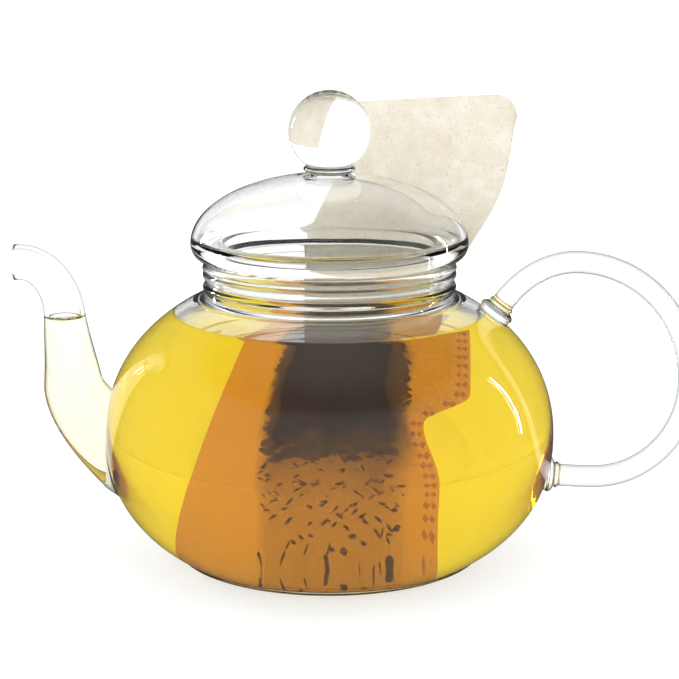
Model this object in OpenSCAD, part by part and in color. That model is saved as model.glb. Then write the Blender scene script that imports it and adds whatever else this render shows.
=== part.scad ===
// Glass teapot with a domed lid and a paper tea filter hanging in it.
// Millimetres. The origin is the centre of the flat foot, +Z is up, the spout points along -X
// and the handle along +X.

/* [Bulb] */
// Outer diameter of the bulb at its widest place
bulb_d = 145; // [115:1:180]
// Height of the widest place above the table
belly_h = 41; // [34:1:52]
// Height of the shoulder, where the bulb ends and the neck starts
shoulder_h = 85.4; // [70:0.1:105]
// Radius of the flat foot
foot_r = 44; // [36:0.5:50]
// Thickness of the bulb's wall
wall = 2.2; // [1.6:0.1:3]
// Thickness of the bulb's floor
floor_t = 4; // [3:0.1:6]
// Height of the bulb's lowest course, which carries the floor
floor_course_h = 14; // [10:0.5:18]
// Height of the bulb's upper course, which turns in to the neck
shoulder_course_h = 15.4; // [12:0.1:18]
// Fullness of the lower half, where 2 is an ellipse
low_full = 2.2; // [2:0.05:2.6]
// Fullness of the upper half
top_full = 2.15; // [2:0.05:2.6]

/* [Neck] */
// Outer diameter of the neck
neck_d = 79.2; // [68:0.1:84]
// Thickness of the neck's wall
neck_wall = 2.7; // [2:0.1:3.2]
// Height of the neck, without its rim
neck_h = 10.2; // [8:0.1:14]
// Radius of the two rings round the neck
ring_r = 1.1; // [0.8:0.05:1.3]
// Height of the half-round rim on top of the neck
rim_h = 1.9; // [1.5:0.1:2.4]

/* [Spout] */
// How far below the bulb's widest place the spout leaves it
spout_root_drop = 2; // [-2:0.5:5]
// Outer radius of the spout where it joins the bulb
spout_root_r = 14.2; // [13:0.1:18]
// Outer radius of the spout at its end
spout_end_r = 5.7; // [5:0.1:7]
// Thickness of the spout's wall
spout_wall = 1.5; // [1.2:0.1:2]
// How far the spout's end stands out from the bulb
spout_reach = 28; // [24:0.5:34]
// How far below the top of the rim the middle of the spout's end is
spout_end_drop = 0.5; // [-6:0.5:3]
// Radius of one strainer hole in the wall behind the spout
strainer_hole_r = 2.3; // [1.5:0.1:2.6]
// Distance between two strainer holes
strainer_pitch = 7; // [6.5:0.1:7.5]

/* [Handle] */
// Diameter of the handle's glass rod
handle_d = 7.2; // [6:0.1:9]
// Distance from the neck's foot out to where the handle's upper end is sealed on
handle_top_out = 8.2; // [7:0.1:12]
// How far below the bulb's widest place the handle's lower end is sealed on
handle_low_drop = 13.8; // [8:0.1:17]
// Rise of the handle's arch above its upper seal
handle_rise = 13.3; // [8:0.5:18]
// How far the handle stands out from the bulb
handle_reach = 44; // [36:0.5:52]
// Height of each seal, where the rod is melted on to the bulb
seal_h = 4.4; // [3.5:0.1:6]
// Radius of each seal
seal_r = 5.4; // [4.8:0.1:6.5]

/* [Lid] */
// How far the lid's edge stands out past the neck
lid_overhang = 4.8; // [3.5:0.1:8]
// Height of the lid's rounded edge
lid_edge_h = 5.1; // [4:0.1:6.5]
// Height of the dome above the edge
dome_h = 22; // [16:0.5:28]
// Thickness of the dome's wall
dome_wall = 2.1; // [1.6:0.1:2.6]
// Depth of the skirt below the lid's seat
skirt_h = 10; // [6:0.5:12]
// Thickness of the skirt's wall
skirt_wall = 1.9; // [1.5:0.1:2.2]
// Room between the skirt and the neck, where the filter's paper goes through
skirt_gap = 1.5; // [1.3:0.1:2]
// Radius of the ball knob
knob_r = 13; // [10:0.5:15]
// Radius of the stem under the knob
stem_r = 8.3; // [7:0.1:9]
// Height of the stem
stem_h = 3.2; // [2.5:0.1:4]

/* [Paper filter] */
// Width of the filter, with its crimped edges
filter_w = 64; // [54:1:68]
// Width of a crimped edge
crimp_w = 4.5; // [3:0.5:6]
// Thickness of the filter's paper
paper_t = 0.4; // [0.3:0.05:0.4]
// Thickness of the filled pouch
pouch_t = 17; // [12:1:22]
// Height of the filter's flap above the lid's seat
flap_h = 49; // [30:1:60]
// Sideways lean of the pouch in the pot, as a slope
pouch_lean = 0.2; // [0:0.01:0.25]
// Sideways place of the pouch's mouth, towards the handle
pouch_x = 4.5; // [0:0.5:7]
// How far behind the pot's axis the pouch hangs
pouch_y = 8; // [0:0.5:12]
// Sideways lean of the flap behind the lid, as a slope
flap_lean = 0.22; // [0:0.01:0.3]
// Direction round the neck in which the flap comes out
flap_turn = 58; // [50:1:75]

/* [Hidden] */

// Free space between the paper and what moves past it, and inside one body
clear = 0.3;
touch = 0.05;
bulb_r = bulb_d / 2;
spout_root_h = belly_h - spout_root_drop;
handle_low_h = belly_h - handle_low_drop;
neck_r = neck_d / 2;
neck_in = neck_r - neck_wall;
fillet_r = 4.2;
root_r = neck_r + fillet_r;
neck_top = shoulder_h + neck_h;
rim_proud = 0.55;
rim_r = neck_wall / 2 + rim_proud;
rim_mid = neck_in + rim_r;
rim_top = neck_top + rim_h;
spout_end_h = rim_top - spout_end_drop;
handle_top_r = root_r + handle_top_out;
lid_r = neck_r + lid_overhang;
lid_seat = rim_top + paper_t + 2 * clear;
dome_base = lid_seat + lid_edge_h;
dome_top = dome_base + dome_h;
skirt_r = neck_in - skirt_gap;
edge_foot_out = 1.5;
edge_foot_r = rim_mid + edge_foot_out;
knob_lift = 0.3;
knob_mid = dome_top + knob_lift + knob_r;
stem_sunk = 0.8;

// Colours: clear glass, its thicker parts, dry and wet paper, leaves
GLASS = [0.86, 0.92, 0.93, 0.35];
THICK_GLASS = [0.74, 0.83, 0.85, 0.5];
DRY_PAPER = [0.90, 0.87, 0.80];
WET_PAPER = [0.80, 0.55, 0.20];
CRIMP_PAPER = [0.70, 0.45, 0.15];
LEAVES = [0.24, 0.14, 0.05];

// Steps of the lid's quarter outlines, degrees between two points of the bulb's outline, and
// points on round paths and round a tube
OUTLINE_STEPS = 14;
OUTLINE_TURN = 3;
PATH_STEPS = 9;
TUBE_SIDES = 24;

// --- Curves of the bulb -------------------------------------------------------------------

// Height share of a rounded outline of fullness n at the share x of its radius
function round_share(x, n) = pow(1 - pow(x, n), 1 / n);

low_h = belly_h / round_share(foot_r / bulb_r, low_full);
top_h = (shoulder_h - belly_h) / round_share(root_r / bulb_r, top_full);

// Radius of the bulb at height z, with the skin moved inwards by inset
function bulb_radius(z, inset = 0) =
    z < belly_h
        ? (bulb_r - inset) * round_share((belly_h - z) / (low_h - inset), low_full)
        : (bulb_r - inset) * round_share((z - belly_h) / (top_h - inset), top_full);

// Height of the shoulder's outer skin at radius r
function shoulder_height(r) = belly_h + top_h * round_share(r / bulb_r, top_full);

// Outline of the bulb from height z0 up to z1, closer together where it turns fast
function bulb_outline(z0, z1, inset) =
    let (
        low = asin((z0 - belly_h) / (z0 < belly_h ? low_h : top_h)),
        high = asin((z1 - belly_h) / (z1 < belly_h ? low_h : top_h)),
        steps = ceil((high - low) / OUTLINE_TURN)
    )
    [
        for (i = [0 : steps])
            let (
                a = low + (high - low) * i / steps,
                z = i == 0 ? z0 : i == steps ? z1 : belly_h + sin(a) * (a < 0 ? low_h : top_h)
            )
            [bulb_radius(z, inset), z]
    ];

// Quarter of an ellipse from [x0, z0], where it is level, to [x1, z1], where it is upright
function quarter(x0, z0, x1, z1, steps) = [
    for (i = [0 : steps])
        let (a = 90 * i / steps)
        [x0 + (x1 - x0) * sin(a), z1 + (z0 - z1) * cos(a)]
];

// List without its first item
function rest_of(list) = [for (i = [1 : len(list) - 1]) list[i]];

function reversed(list) = [for (i = [len(list) - 1 : -1 : 0]) list[i]];

// --- Tubes that bend in the upright plane through the spout and the handle -----------------

function unit(v) = v / norm(v);

// Direction of a path of [x, z] points at point i
function heading(path, i) =
    unit(path[min(i + 1, len(path) - 1)] - path[max(i - 1, 0)]);

// Ring number i of a tube: its points go round the path
function tube_ring(path, radii, i, sides) =
    let (d = heading(path, i))
    [
        for (k = [0 : sides - 1])
            let (a = 360 * k / sides)
            [
                path[i][0] + d[1] * radii[i] * cos(a),
                radii[i] * sin(a),
                path[i][1] - d[0] * radii[i] * cos(a)
            ]
    ];

// Faces between the first so many rings of a stack and the rings that follow them
function ring_faces(steps, rings, sides) = [
    for (i = [0 : steps - 1], k = [0 : sides - 1])
        let (a = i * sides, b = (i + 1) % rings * sides, n = (k + 1) % sides)
        [a + k, b + k, b + n, a + n]
];

// Faces of a stack of rings that is closed at both ends by a fan
function stack_faces(rings, sides) = concat(
    ring_faces(rings - 1, rings, sides),
    [reversed([for (k = [0 : sides - 1]) (rings - 1) * sides + k])],
    [[for (k = [0 : sides - 1]) k]]
);

module solid_tube(path, radii, sides = TUBE_SIDES) {
    points = [for (i = [0 : len(path) - 1]) each tube_ring(path, radii, i, sides)];
    polyhedron(points, stack_faces(len(path), sides), convexity = 6);
}

// --- Spout ---------------------------------------------------------------------------------

spout_end_x = -bulb_r - spout_reach;
// The middle line starts inside the wall, bends up beside the bulb, rises and bends over again to
// a short level end
spout_sunk = 8;
spout_start_drop = 5;
spout_bend_out = 10.6;
spout_bend_rise = 19;
spout_rise_out = 12.8;
spout_rise_drop = 17;
spout_level = 1;
spout_start = [-bulb_radius(spout_root_h) + spout_sunk, spout_root_h - spout_start_drop];
spout_bend = [-bulb_r - spout_bend_out, spout_root_h + spout_bend_rise];
spout_rise = [-bulb_r - spout_rise_out, spout_end_h - spout_rise_drop];
// How hard the line is pulled along its own direction before and after those places
start_pull = [-7, 5];
bend_pull = [[-0.6, 9], [-0.6, 8]];
rise_pull = [[-0.4, 7], [-0.6, 9]];
end_pull = [8, 0];

// Point of a cubic curve through its four guide points at t
function cubic(p, t) =
    pow(1 - t, 3) * p[0] + 3 * t * pow(1 - t, 2) * p[1]
    + 3 * t * t * (1 - t) * p[2] + pow(t, 3) * p[3];

spout_end = [spout_end_x, spout_end_h];
spout_turned = spout_end + [spout_level, 0];
spout_low_guides = [spout_start, spout_start + start_pull, spout_bend - bend_pull[0], spout_bend];
spout_mid_guides = [
    spout_bend, spout_bend + bend_pull[1], spout_rise - rise_pull[0], spout_rise
];
spout_end_guides = [
    spout_rise, spout_rise + rise_pull[1], spout_turned + end_pull, spout_turned
];

// The line is counted in steps, so many for each of its three curves and one for its level end.
// Before its start it goes straight back into the bulb.
spout_steps = 3 * PATH_STEPS + 1;
function spout_spine(u) =
    u < 0 ? spout_start + u * 3 / PATH_STEPS * start_pull
    : u < PATH_STEPS ? cubic(spout_low_guides, u / PATH_STEPS)
    : u < 2 * PATH_STEPS ? cubic(spout_mid_guides, u / PATH_STEPS - 1)
    : u < 3 * PATH_STEPS ? cubic(spout_end_guides, u / PATH_STEPS - 2)
    : spout_turned + (u - 3 * PATH_STEPS) * (spout_end - spout_turned);

// Outer radius of the spout at step u: wide at the bulb, slim at the end
spout_flare = 2.1;
function spout_radius(u) =
    spout_end_r + (spout_root_r - spout_end_r) * pow(1 - max(0, u) / spout_steps, spout_flare);

// Point at angle a round the spout at step u, its skin moved inwards by inset
function spout_point(u, a, inset) =
    let (
        p = spout_spine(u),
        d = unit(spout_spine(min(spout_steps, u + 0.5)) - spout_spine(u - 0.5)),
        r = spout_radius(u) - inset
    )
    [p[0] + d[1] * r * cos(a), r * sin(a), p[1] - d[0] * r * cos(a)];

// Step at which the spout's side at angle a comes out of the bulb, found by halving
spout_free = PATH_STEPS + 1;
function spout_root(a, inset, from = -6, to = spout_free, halvings = 20) =
    let (
        u = (from + to) / 2,
        p = spout_point(u, a, inset),
        is_out = norm([p[0], p[1]]) > bulb_radius(p[2], -touch)
    )
    halvings == 0 ? u
    : is_out ? spout_root(a, inset, from, u, halvings - 1)
    : spout_root(a, inset, u, to, halvings - 1);

// Ring number i of the spout: the first lies on the bulb's skin, the others draw level with it
function spout_ring(i, inset) = [
    for (k = [0 : TUBE_SIDES - 1])
        let (
            a = 360 * k / TUBE_SIDES,
            u = i < spout_free ? i + spout_root(a, inset) * (1 - i / spout_free) : i
        )
        spout_point(u, a, inset)
];

lip_bead_r = 0.9;

// --- Handle --------------------------------------------------------------------------------

rod_r = handle_d / 2;
upper_joint = [handle_top_r, shoulder_height(handle_top_r)];
lower_joint = [bulb_radius(handle_low_h), handle_low_h];
// Directions in which the rod leaves its two seals
upper_turn = 42;
lower_turn = 8;
upper_end = upper_joint + (seal_h + 0.6) * [cos(upper_turn), sin(upper_turn)];
lower_end = lower_joint + seal_h * [cos(lower_turn), -sin(lower_turn)];
// The rod is level where its arch is highest and lowest, and upright where it stands out most
arch_top_out = 27;
arch_side_drop = 4.4;
arch_low_out = 14;
arch_low_drop = 0.5;
arch_top = [upper_joint[0] + arch_top_out, upper_end[1] + handle_rise];
arch_side = [bulb_r + handle_reach, (arch_top[1] + handle_low_h) / 2 - arch_side_drop];
arch_low = [bulb_r + arch_low_out, lower_end[1] - arch_low_drop];
// How far the rod has turned from level at its two ends
upper_arc = 48;
lower_arc = 20;

// Part of an ellipse from a place where it is level to one where it has turned by angle
function eased(level, end, angle, steps) = [
    for (i = [0 : steps])
        let (a = angle * i / steps)
        [
            level[0] + (end[0] - level[0]) * sin(a) / sin(angle),
            level[1] + (end[1] - level[1]) * (1 - cos(a)) / (1 - cos(angle))
        ]
];

handle_path = concat(
    reversed(eased(arch_top, upper_end, upper_arc, PATH_STEPS)),
    rest_of(quarter(arch_top[0], arch_top[1], arch_side[0], arch_side[1], PATH_STEPS)),
    rest_of(reversed(quarter(arch_low[0], arch_low[1], arch_side[0], arch_side[1], PATH_STEPS))),
    rest_of(eased(arch_low, lower_end, lower_arc, PATH_STEPS))
);

// --- Glass pieces of the pot ---------------------------------------------------------------

// The whole bulb without its hollow, which also shapes what is melted on to it
module bulb_outside(grow = 0) {
    rotate_extrude($fn = 96)
        polygon(concat(
            [[0, -grow]], bulb_outline(0, shoulder_h, -grow), [[0, shoulder_h + grow]]
        ));
}

// Strainer: one hole with six round it, drilled level through the wall behind the spout
module strainer_holes() {
    spots = concat([[0, 0]], [for (a = [0 : 60 : 300]) strainer_pitch * [cos(a), sin(a)]]);
    for (spot = spots)
        translate([-bulb_r - 5, spot[0], spout_root_h + spot[1]])
            rotate([0, 90, 0])
                cylinder(r = strainer_hole_r, h = 25, $fn = 32);
}

// The neck's bore goes on down through the shoulder
bulb_mouth_r = max(neck_in, bulb_radius(shoulder_h, wall));

// The bulb's wall between two heights, as one ring
module bulb_course(z0, z1) {
    rotate_extrude($fn = 96)
        polygon(concat(bulb_outline(z0, z1, 0), reversed(bulb_outline(z0, z1, wall))));
}

// Flat foot, thick floor and the lowest course of the wall
module pot_floor() {
    color(GLASS)
        rotate_extrude($fn = 96)
            polygon(concat(
                [[0, 0]], bulb_outline(0, floor_course_h, 0),
                reversed(bulb_outline(floor_t, floor_course_h, wall)), [[0, floor_t]]
            ));
}

// Widest course, which holds the spout's root and the handle's lower end
module pot_belly() {
    color(GLASS)
        difference() {
            bulb_course(floor_course_h, shoulder_h - shoulder_course_h);
            strainer_holes();
        }
}

// Upper course, which turns in to the neck
module pot_shoulder() {
    color(GLASS)
        difference() {
            bulb_course(shoulder_h - shoulder_course_h, shoulder_h);
            translate([0, 0, shoulder_h - 3 * wall])
                cylinder(r = neck_in, h = 4 * wall, $fn = 96);
        }
}

module neck_collar() {
    color(GLASS)
        rotate_extrude($fn = 96) {
            polygon(concat(
                [[bulb_mouth_r, shoulder_h]],
                [
                    for (i = [0 : 6])
                        let (a = 15 * i)
                        [root_r - fillet_r * sin(a), shoulder_h + fillet_r * (1 - cos(a))]
                ],
                [[neck_r, neck_top], [neck_in, neck_top], [neck_in, shoulder_h + 2]]
            ));
            for (z = [shoulder_h + fillet_r, neck_top - 2])
                translate([neck_r, z])
                    circle(r = ring_r, $fn = 24);
        }
}

// Half-round top of the neck, on which the lid sits
module rim_bead() {
    color(THICK_GLASS)
        rotate_extrude($fn = 96)
            polygon([
                for (i = [0 : 12])
                    let (a = 15 * i)
                    [rim_mid + rim_r * cos(a), neck_top + rim_h * sin(a)]
            ]);
}

// A tube whose wall begins on the bulb's skin
module spout() {
    outer = [for (i = [0 : spout_steps]) each spout_ring(i, 0)];
    inner = [for (i = [spout_steps : -1 : 0]) each spout_ring(i, spout_wall)];
    rings = 2 * spout_steps + 2;
    color(GLASS)
        polyhedron(concat(outer, inner), ring_faces(rings, rings, TUBE_SIDES), convexity = 8);
}

// Melted bead round the spout's mouth
module spout_lip() {
    color(THICK_GLASS)
        translate([spout_end_x, 0, spout_end_h])
            rotate([0, -90, 0])
                rotate_extrude($fn = 48)
                    difference() {
                        translate([spout_end_r - spout_wall / 2, 0])
                            circle(r = lip_bead_r, $fn = 24);
                        translate([0, -5])
                            square([2 * spout_end_r, 5]);
                    }
}

module handle() {
    color(THICK_GLASS)
        solid_tube(handle_path, [for (p = handle_path) rod_r]);
}

// A seal is a short cone with two rings, between the bulb's skin and the rod's end
module handle_seal(end, turn) {
    depth = 9;
    difference() {
        translate([end[0], 0, end[1]])
            rotate([0, -90 - turn, 0])
                rotate_extrude($fn = 48)
                    polygon([
                        [0, 0], [rod_r, 0], [rod_r + 0.7, 0.7], [rod_r + 0.2, 1.5],
                        [seal_r - 0.3, 2.2], [seal_r, 3], [seal_r, depth], [0, depth]
                    ]);
        bulb_outside();
    }
}

module handle_upper_seal() {
    color(THICK_GLASS)
        handle_seal(upper_end, atan2(
            handle_path[1][1] - handle_path[0][1], handle_path[1][0] - handle_path[0][0]
        ));
}

module handle_lower_seal() {
    last = len(handle_path) - 1;
    color(THICK_GLASS)
        handle_seal(lower_end, atan2(
            handle_path[last - 1][1] - handle_path[last][1],
            handle_path[last - 1][0] - handle_path[last][0]
        ));
}

// --- Lid -----------------------------------------------------------------------------------

// Outline of the dome from its edge to its top, with the skin moved inwards by inset
function dome_outline(inset) = [
    for (i = [0 : OUTLINE_STEPS])
        let (a = 90 * i / OUTLINE_STEPS)
        [(lid_r - inset) * cos(a), dome_base + (dome_h - inset) * sin(a)]
];

module lid_dome() {
    color(GLASS)
        rotate_extrude($fn = 96)
            polygon(concat(dome_outline(0), reversed(dome_outline(dome_wall))));
}

// Thick rounded edge that rests over the rim
module lid_edge() {
    color(THICK_GLASS)
        rotate_extrude($fn = 96)
            polygon(concat(
                [[skirt_r, lid_seat]],
                quarter(edge_foot_r, lid_seat, lid_r, dome_base, 8),
                [[skirt_r, dome_base]]
            ));
}

// Ring that hangs from the edge into the neck and keeps the lid in place
module lid_skirt() {
    bottom = lid_seat - skirt_h;
    half = skirt_wall / 2;
    color(GLASS)
        rotate_extrude($fn = 96)
            polygon(concat(
                [[skirt_r, dome_base], [skirt_r - skirt_wall, dome_base]],
                [
                    for (i = [0 : 6])
                        let (a = 180 + 30 * i)
                        [skirt_r - half + half * cos(a), bottom + half + half * sin(a)]
                ]
            ));
}

module knob_stem() {
    color(THICK_GLASS)
        difference() {
            translate([0, 0, dome_top - stem_sunk])
                rotate_extrude($fn = 64)
                    polygon([
                        [0, 0], [stem_r - 2.6, 0], [stem_r - 2.9, 1.2], [stem_r - 1, stem_h - 0.9],
                        [stem_r, stem_h - 0.3], [stem_r - 0.3, stem_h + 0.8], [0, stem_h + 0.8]
                    ]);
            rotate_extrude($fn = 96)
                polygon(concat([[0, dome_base]], dome_outline(0)));
            translate([0, 0, knob_mid])
                sphere(r = knob_r, $fn = 96);
        }
}

module knob_ball() {
    color(THICK_GLASS)
        translate([0, 0, knob_mid])
            sphere(r = knob_r, $fn = 96);
}

// --- Paper filter --------------------------------------------------------------------------

crimp_drop = crimp_w * 0.75;
pouch_low = floor_t + crimp_drop + 1;
pouch_top = shoulder_h - 9;
lens_half = filter_w / 2 - crimp_w;

// Middle of the pouch at height z
function lane(z) = pouch_x + pouch_lean * (z - pouch_top);

// Half the pouch's thickness at the share s of its height: full below, flat at the mouth
mouth_half = 1.2;
fullest_low = 0.72;
bulge_full = 0.9;
least_half = 0.35;
function pouch_half(s) =
    mouth_half
    + (pouch_t / 2 - mouth_half) * pow(sin(180 * pow(min(1, s + 0.02), fullest_low)), bulge_full);

// Ring of the pouch at share s, its skin moved inwards by inset
POUCH_SIDES = 28;
function pouch_ring(s, inset, low, top) =
    let (
        z = low + (top - low) * s,
        half_t = max(least_half, pouch_half(s) - inset),
        half_w = lens_half - inset
    )
    [
        for (k = [0 : POUCH_SIDES - 1])
            let (a = 360 * k / POUCH_SIDES)
            [
                lane(z) + half_w * cos(a),
                pouch_y + half_t * sin(a) * (0.75 + 0.25 * abs(sin(a))),
                z
            ]
    ];

POUCH_RINGS = 14;
module filter_pouch() {
    outer = [
        for (i = [0 : POUCH_RINGS])
            each pouch_ring(i / POUCH_RINGS, 0, pouch_low, pouch_top)
    ];
    inner = [
        for (i = [POUCH_RINGS : -1 : 0])
            each pouch_ring(
                max(0.03, i / POUCH_RINGS), paper_t, pouch_low, pouch_top
            )
    ];
    color(WET_PAPER)
        polyhedron(
            concat(outer, inner),
            stack_faces(2 * POUCH_RINGS + 2, POUCH_SIDES),
            convexity = 8
        );
}

// Wet leaves: a closed heap in the lower part of the pouch
module tea_leaves() {
    heap_top = 0.82;
    rings = 10;
    gap = paper_t + clear;
    points = [
        for (i = [0 : rings])
            let (s = 0.07 + (heap_top - 0.07) * i / rings)
            each pouch_ring(s, gap + (i == 0 || i == rings ? 1.5 : 0), pouch_low, pouch_top)
    ];
    color(LEAVES)
        polyhedron(points, stack_faces(rings + 1, POUCH_SIDES), convexity = 4);
}

// Flat crimped strips beside and below the pouch
module side_crimp(side) {
    h = pouch_top - pouch_low;
    near = side * (lens_half + touch);
    far = side * (lens_half + crimp_w);
    low_x = lane(pouch_low);
    top_x = lane(pouch_top);
    color(CRIMP_PAPER)
        translate([0, pouch_y + paper_t, pouch_low])
            rotate([90, 0, 0])
                linear_extrude(2 * paper_t)
                    polygon([
                        [low_x + near, 0], [low_x + far, 0], [top_x + far, h], [top_x + near, h]
                    ]);
}

module filter_left_crimp() {
    side_crimp(-1);
}

module filter_right_crimp() {
    side_crimp(1);
}

module filter_bottom_crimp() {
    half = filter_w / 2;
    color(CRIMP_PAPER)
        translate([0, pouch_y + paper_t, pouch_low - touch])
            rotate([90, 0, 0])
                linear_extrude(2 * paper_t)
                    polygon([
                        [lane(pouch_low) - half, 0],
                        [lane(pouch_low - crimp_drop) - half, -crimp_drop],
                        [lane(pouch_low - crimp_drop) + half, -crimp_drop],
                        [lane(pouch_low) + half, 0]
                    ]);
}

// The flap is one sheet. Its middle line leaves the pouch's mouth, runs up inside the neck, over
// the rim, out under the lid and up behind it. Each item is
// [distance from the pot's axis, height, flatness inside the pot, flatness behind the lid],
// where a sheet with no flatness follows the round neck.
flap_room = clear - touch;
in_r = neck_in - touch - paper_t / 2 - flap_room;
over_r = rim_mid - in_r;
over_z = rim_top + clear + paper_t / 2;
out_r = lid_r + 4 * clear;
turn_r = 2.2;
bend_z = over_z - over_r;
// Behind the lid the sheet leans out, flattens fast, turns to face the front and tilts a little
flap_out = 5;
flat_at_foot = 0.06;
flap_untwist = 22;
flap_tilt = 0.02;
flap_line = concat(
    [
        for (i = [0 : 6])
            let (t = i / 6, z = pouch_top + touch + t * (shoulder_h - 1.5 - pouch_top))
            [in_r, z, 1 - t * t * (3 - 2 * t), 0]
    ],
    [for (i = [0 : 3]) [in_r, shoulder_h + (bend_z - shoulder_h) * i / 4, 0, 0]],
    [
        for (i = [0 : 6])
            let (a = 180 - 15 * i)
            [rim_mid + over_r * cos(a), bend_z + over_r * sin(a), 0, 0]
    ],
    [
        for (i = [0 : 5])
            let (a = -90 + 18 * i)
            [out_r - turn_r + turn_r * cos(a), over_z + turn_r + turn_r * sin(a), 0, flat_at_foot * i / 5]
    ],
    [
        for (i = [1 : 10])
            let (t = i / 10)
            [
                out_r + flap_out * t, over_z + turn_r + (flap_h - turn_r) * t,
                0, flat_at_foot + (1 - flat_at_foot) * (1 - pow(1 - t, 4))
            ]
    ]
);

// Middle of the sheet at row i and at the distance u across it
function flap_point(i, u) =
    let (
        p = flap_line[i],
        shift = flap_lean * max(0, p[1] - lid_seat),
        a = flap_turn - (u + shift) / (rim_mid + 1) * 180 / PI,
        way = flap_turn + flap_untwist * p[3] * (1 - max(0, p[1] - lid_seat) / flap_h),
        across = [sin(way), -cos(way)],
        round_at = p[0] * [cos(a), sin(a)],
        inner_at = [lane(p[1]) + u, pouch_y],
        outer_at = p[0] * [cos(flap_turn), sin(flap_turn)] + (u + shift) * across,
        at = round_at * (1 - p[2] - p[3]) + inner_at * p[2] + outer_at * p[3]
    )
    [at[0], at[1], p[1] + flap_tilt * u * p[3]];

FLAP_ACROSS = 14;
module filter_flap() {
    rows = len(flap_line);
    cols = FLAP_ACROSS + 1;
    function at(i, j) = flap_point(
        max(0, min(rows - 1, i)),
        filter_w * (max(0, min(FLAP_ACROSS, j)) / FLAP_ACROSS - 0.5)
    );
    function face_out(i, j) = unit(cross(at(i + 1, j) - at(i - 1, j), at(i, j + 1) - at(i, j - 1)));
    front = [for (i = [0 : rows - 1], j = [0 : cols - 1]) at(i, j) + face_out(i, j) * paper_t / 2];
    back = [for (i = [0 : rows - 1], j = [0 : cols - 1]) at(i, j) - face_out(i, j) * paper_t / 2];
    n = rows * cols;
    sheet = [for (i = [0 : rows - 2], j = [0 : cols - 2]) [i * cols + j, i * cols + cols + j]];
    loop = concat(
        [for (j = [0 : cols - 2]) j],
        [for (i = [0 : rows - 2]) i * cols + cols - 1],
        [for (j = [cols - 1 : -1 : 1]) (rows - 1) * cols + j],
        [for (i = [rows - 1 : -1 : 1]) i * cols]
    );
    faces = concat(
        [for (s = sheet) each [[s[0], s[0] + 1, s[1]], [s[0] + 1, s[1] + 1, s[1]]]],
        [for (s = sheet) each [[s[0] + n, s[1] + n, s[0] + 1 + n], [s[0] + 1 + n, s[1] + n, s[1] + 1 + n]]],
        [
            for (k = [0 : len(loop) - 1])
                let (a = loop[k], b = loop[(k + 1) % len(loop)])
                each [[a, a + n, b], [b, a + n, b + n]]
        ]
    );
    color(DRY_PAPER)
        polyhedron(concat(front, back), faces, convexity = 8);
}

// --- Assembly ------------------------------------------------------------------------------

pot_floor();
pot_belly();
pot_shoulder();
neck_collar();
rim_bead();
spout();
spout_lip();
handle();
handle_upper_seal();
handle_lower_seal();
lid_dome();
lid_edge();
lid_skirt();
knob_stem();
knob_ball();
filter_pouch();
filter_left_crimp();
filter_right_crimp();
filter_bottom_crimp();
filter_flap();
tea_leaves();
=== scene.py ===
import math

import bmesh
import bpy
import numpy as np
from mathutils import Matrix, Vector, noise


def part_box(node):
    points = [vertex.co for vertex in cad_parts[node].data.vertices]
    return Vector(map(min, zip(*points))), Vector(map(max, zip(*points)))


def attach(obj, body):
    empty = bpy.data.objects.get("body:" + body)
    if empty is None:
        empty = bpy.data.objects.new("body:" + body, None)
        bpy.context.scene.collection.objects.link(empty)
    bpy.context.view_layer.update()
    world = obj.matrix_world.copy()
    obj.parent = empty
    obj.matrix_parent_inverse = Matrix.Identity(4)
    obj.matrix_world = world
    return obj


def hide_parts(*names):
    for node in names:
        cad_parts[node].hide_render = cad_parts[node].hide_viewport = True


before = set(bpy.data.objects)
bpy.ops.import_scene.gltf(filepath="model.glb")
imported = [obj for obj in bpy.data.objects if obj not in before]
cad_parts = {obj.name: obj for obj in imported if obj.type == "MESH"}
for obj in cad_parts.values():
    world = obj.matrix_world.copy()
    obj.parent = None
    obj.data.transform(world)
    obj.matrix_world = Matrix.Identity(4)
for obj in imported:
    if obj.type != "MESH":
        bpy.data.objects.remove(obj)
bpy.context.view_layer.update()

# The looks of a glass teapot with a paper tea filter, in metres. +Z is up, the spout points along
# -X, the handle along +X and the filter's flap stands behind the lid, towards +Y.

MM = 0.001

# --- Sizes, read from the frame ---


def low(node):
    return Vector(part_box(node)[0])


def high(node):
    return Vector(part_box(node)[1])


BULB_R = high("pot_belly").x
SHOULDER_Z = high("pot_shoulder").z
NECK_ROOT_R = high("neck_collar").x
NECK_TOP = high("neck_collar").z
RIM_TOP = high("rim_bead").z
RIM_OUT = high("rim_bead").x
LID_SEAT = low("lid_edge").z
LID_R = high("lid_edge").x
DOME_BASE = high("lid_edge").z
DOME_TOP = high("lid_dome").z
SKIRT_LOW = low("lid_skirt").z
SKIRT_R = high("lid_skirt").x
STEM_TOP = high("knob_stem").z
STEM_R = high("knob_stem").x
KNOB_R = high("knob_ball").x
KNOB_MID = high("knob_ball").z - KNOB_R
SPOUT_END_X = low("spout").x
SPOUT_END_Z = (low("spout_lip").z + high("spout_lip").z) / 2
HANDLE_OUT = high("handle").x
POUCH_LOW = low("filter_pouch").z
POUCH_TOP = high("filter_pouch").z
POUCH_Y = (low("filter_left_crimp").y + high("filter_left_crimp").y) / 2
FLAP_TOP = high("filter_flap").z

# The glass, as the frame's pieces have it
BELLY_Z = 41 * MM
FOOT_R = 44 * MM
LOW_FULL = 2.2
TOP_FULL = 2.15
WALL = 2.2 * MM
FLOOR_T = 4 * MM
NECK_WALL = 2.7 * MM
FILLET_R = 4.2 * MM
RING_R = 1.1 * MM
RING_DROP = 2 * MM
RIM_R = 1.9 * MM
DOME_WALL = 2.1 * MM
SKIRT_WALL = 1.9 * MM
EDGE_FOOT_R = 40.3 * MM
NECK_R = NECK_ROOT_R - FILLET_R
NECK_IN = NECK_R - NECK_WALL
RIM_MID = RIM_OUT - RIM_R

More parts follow.
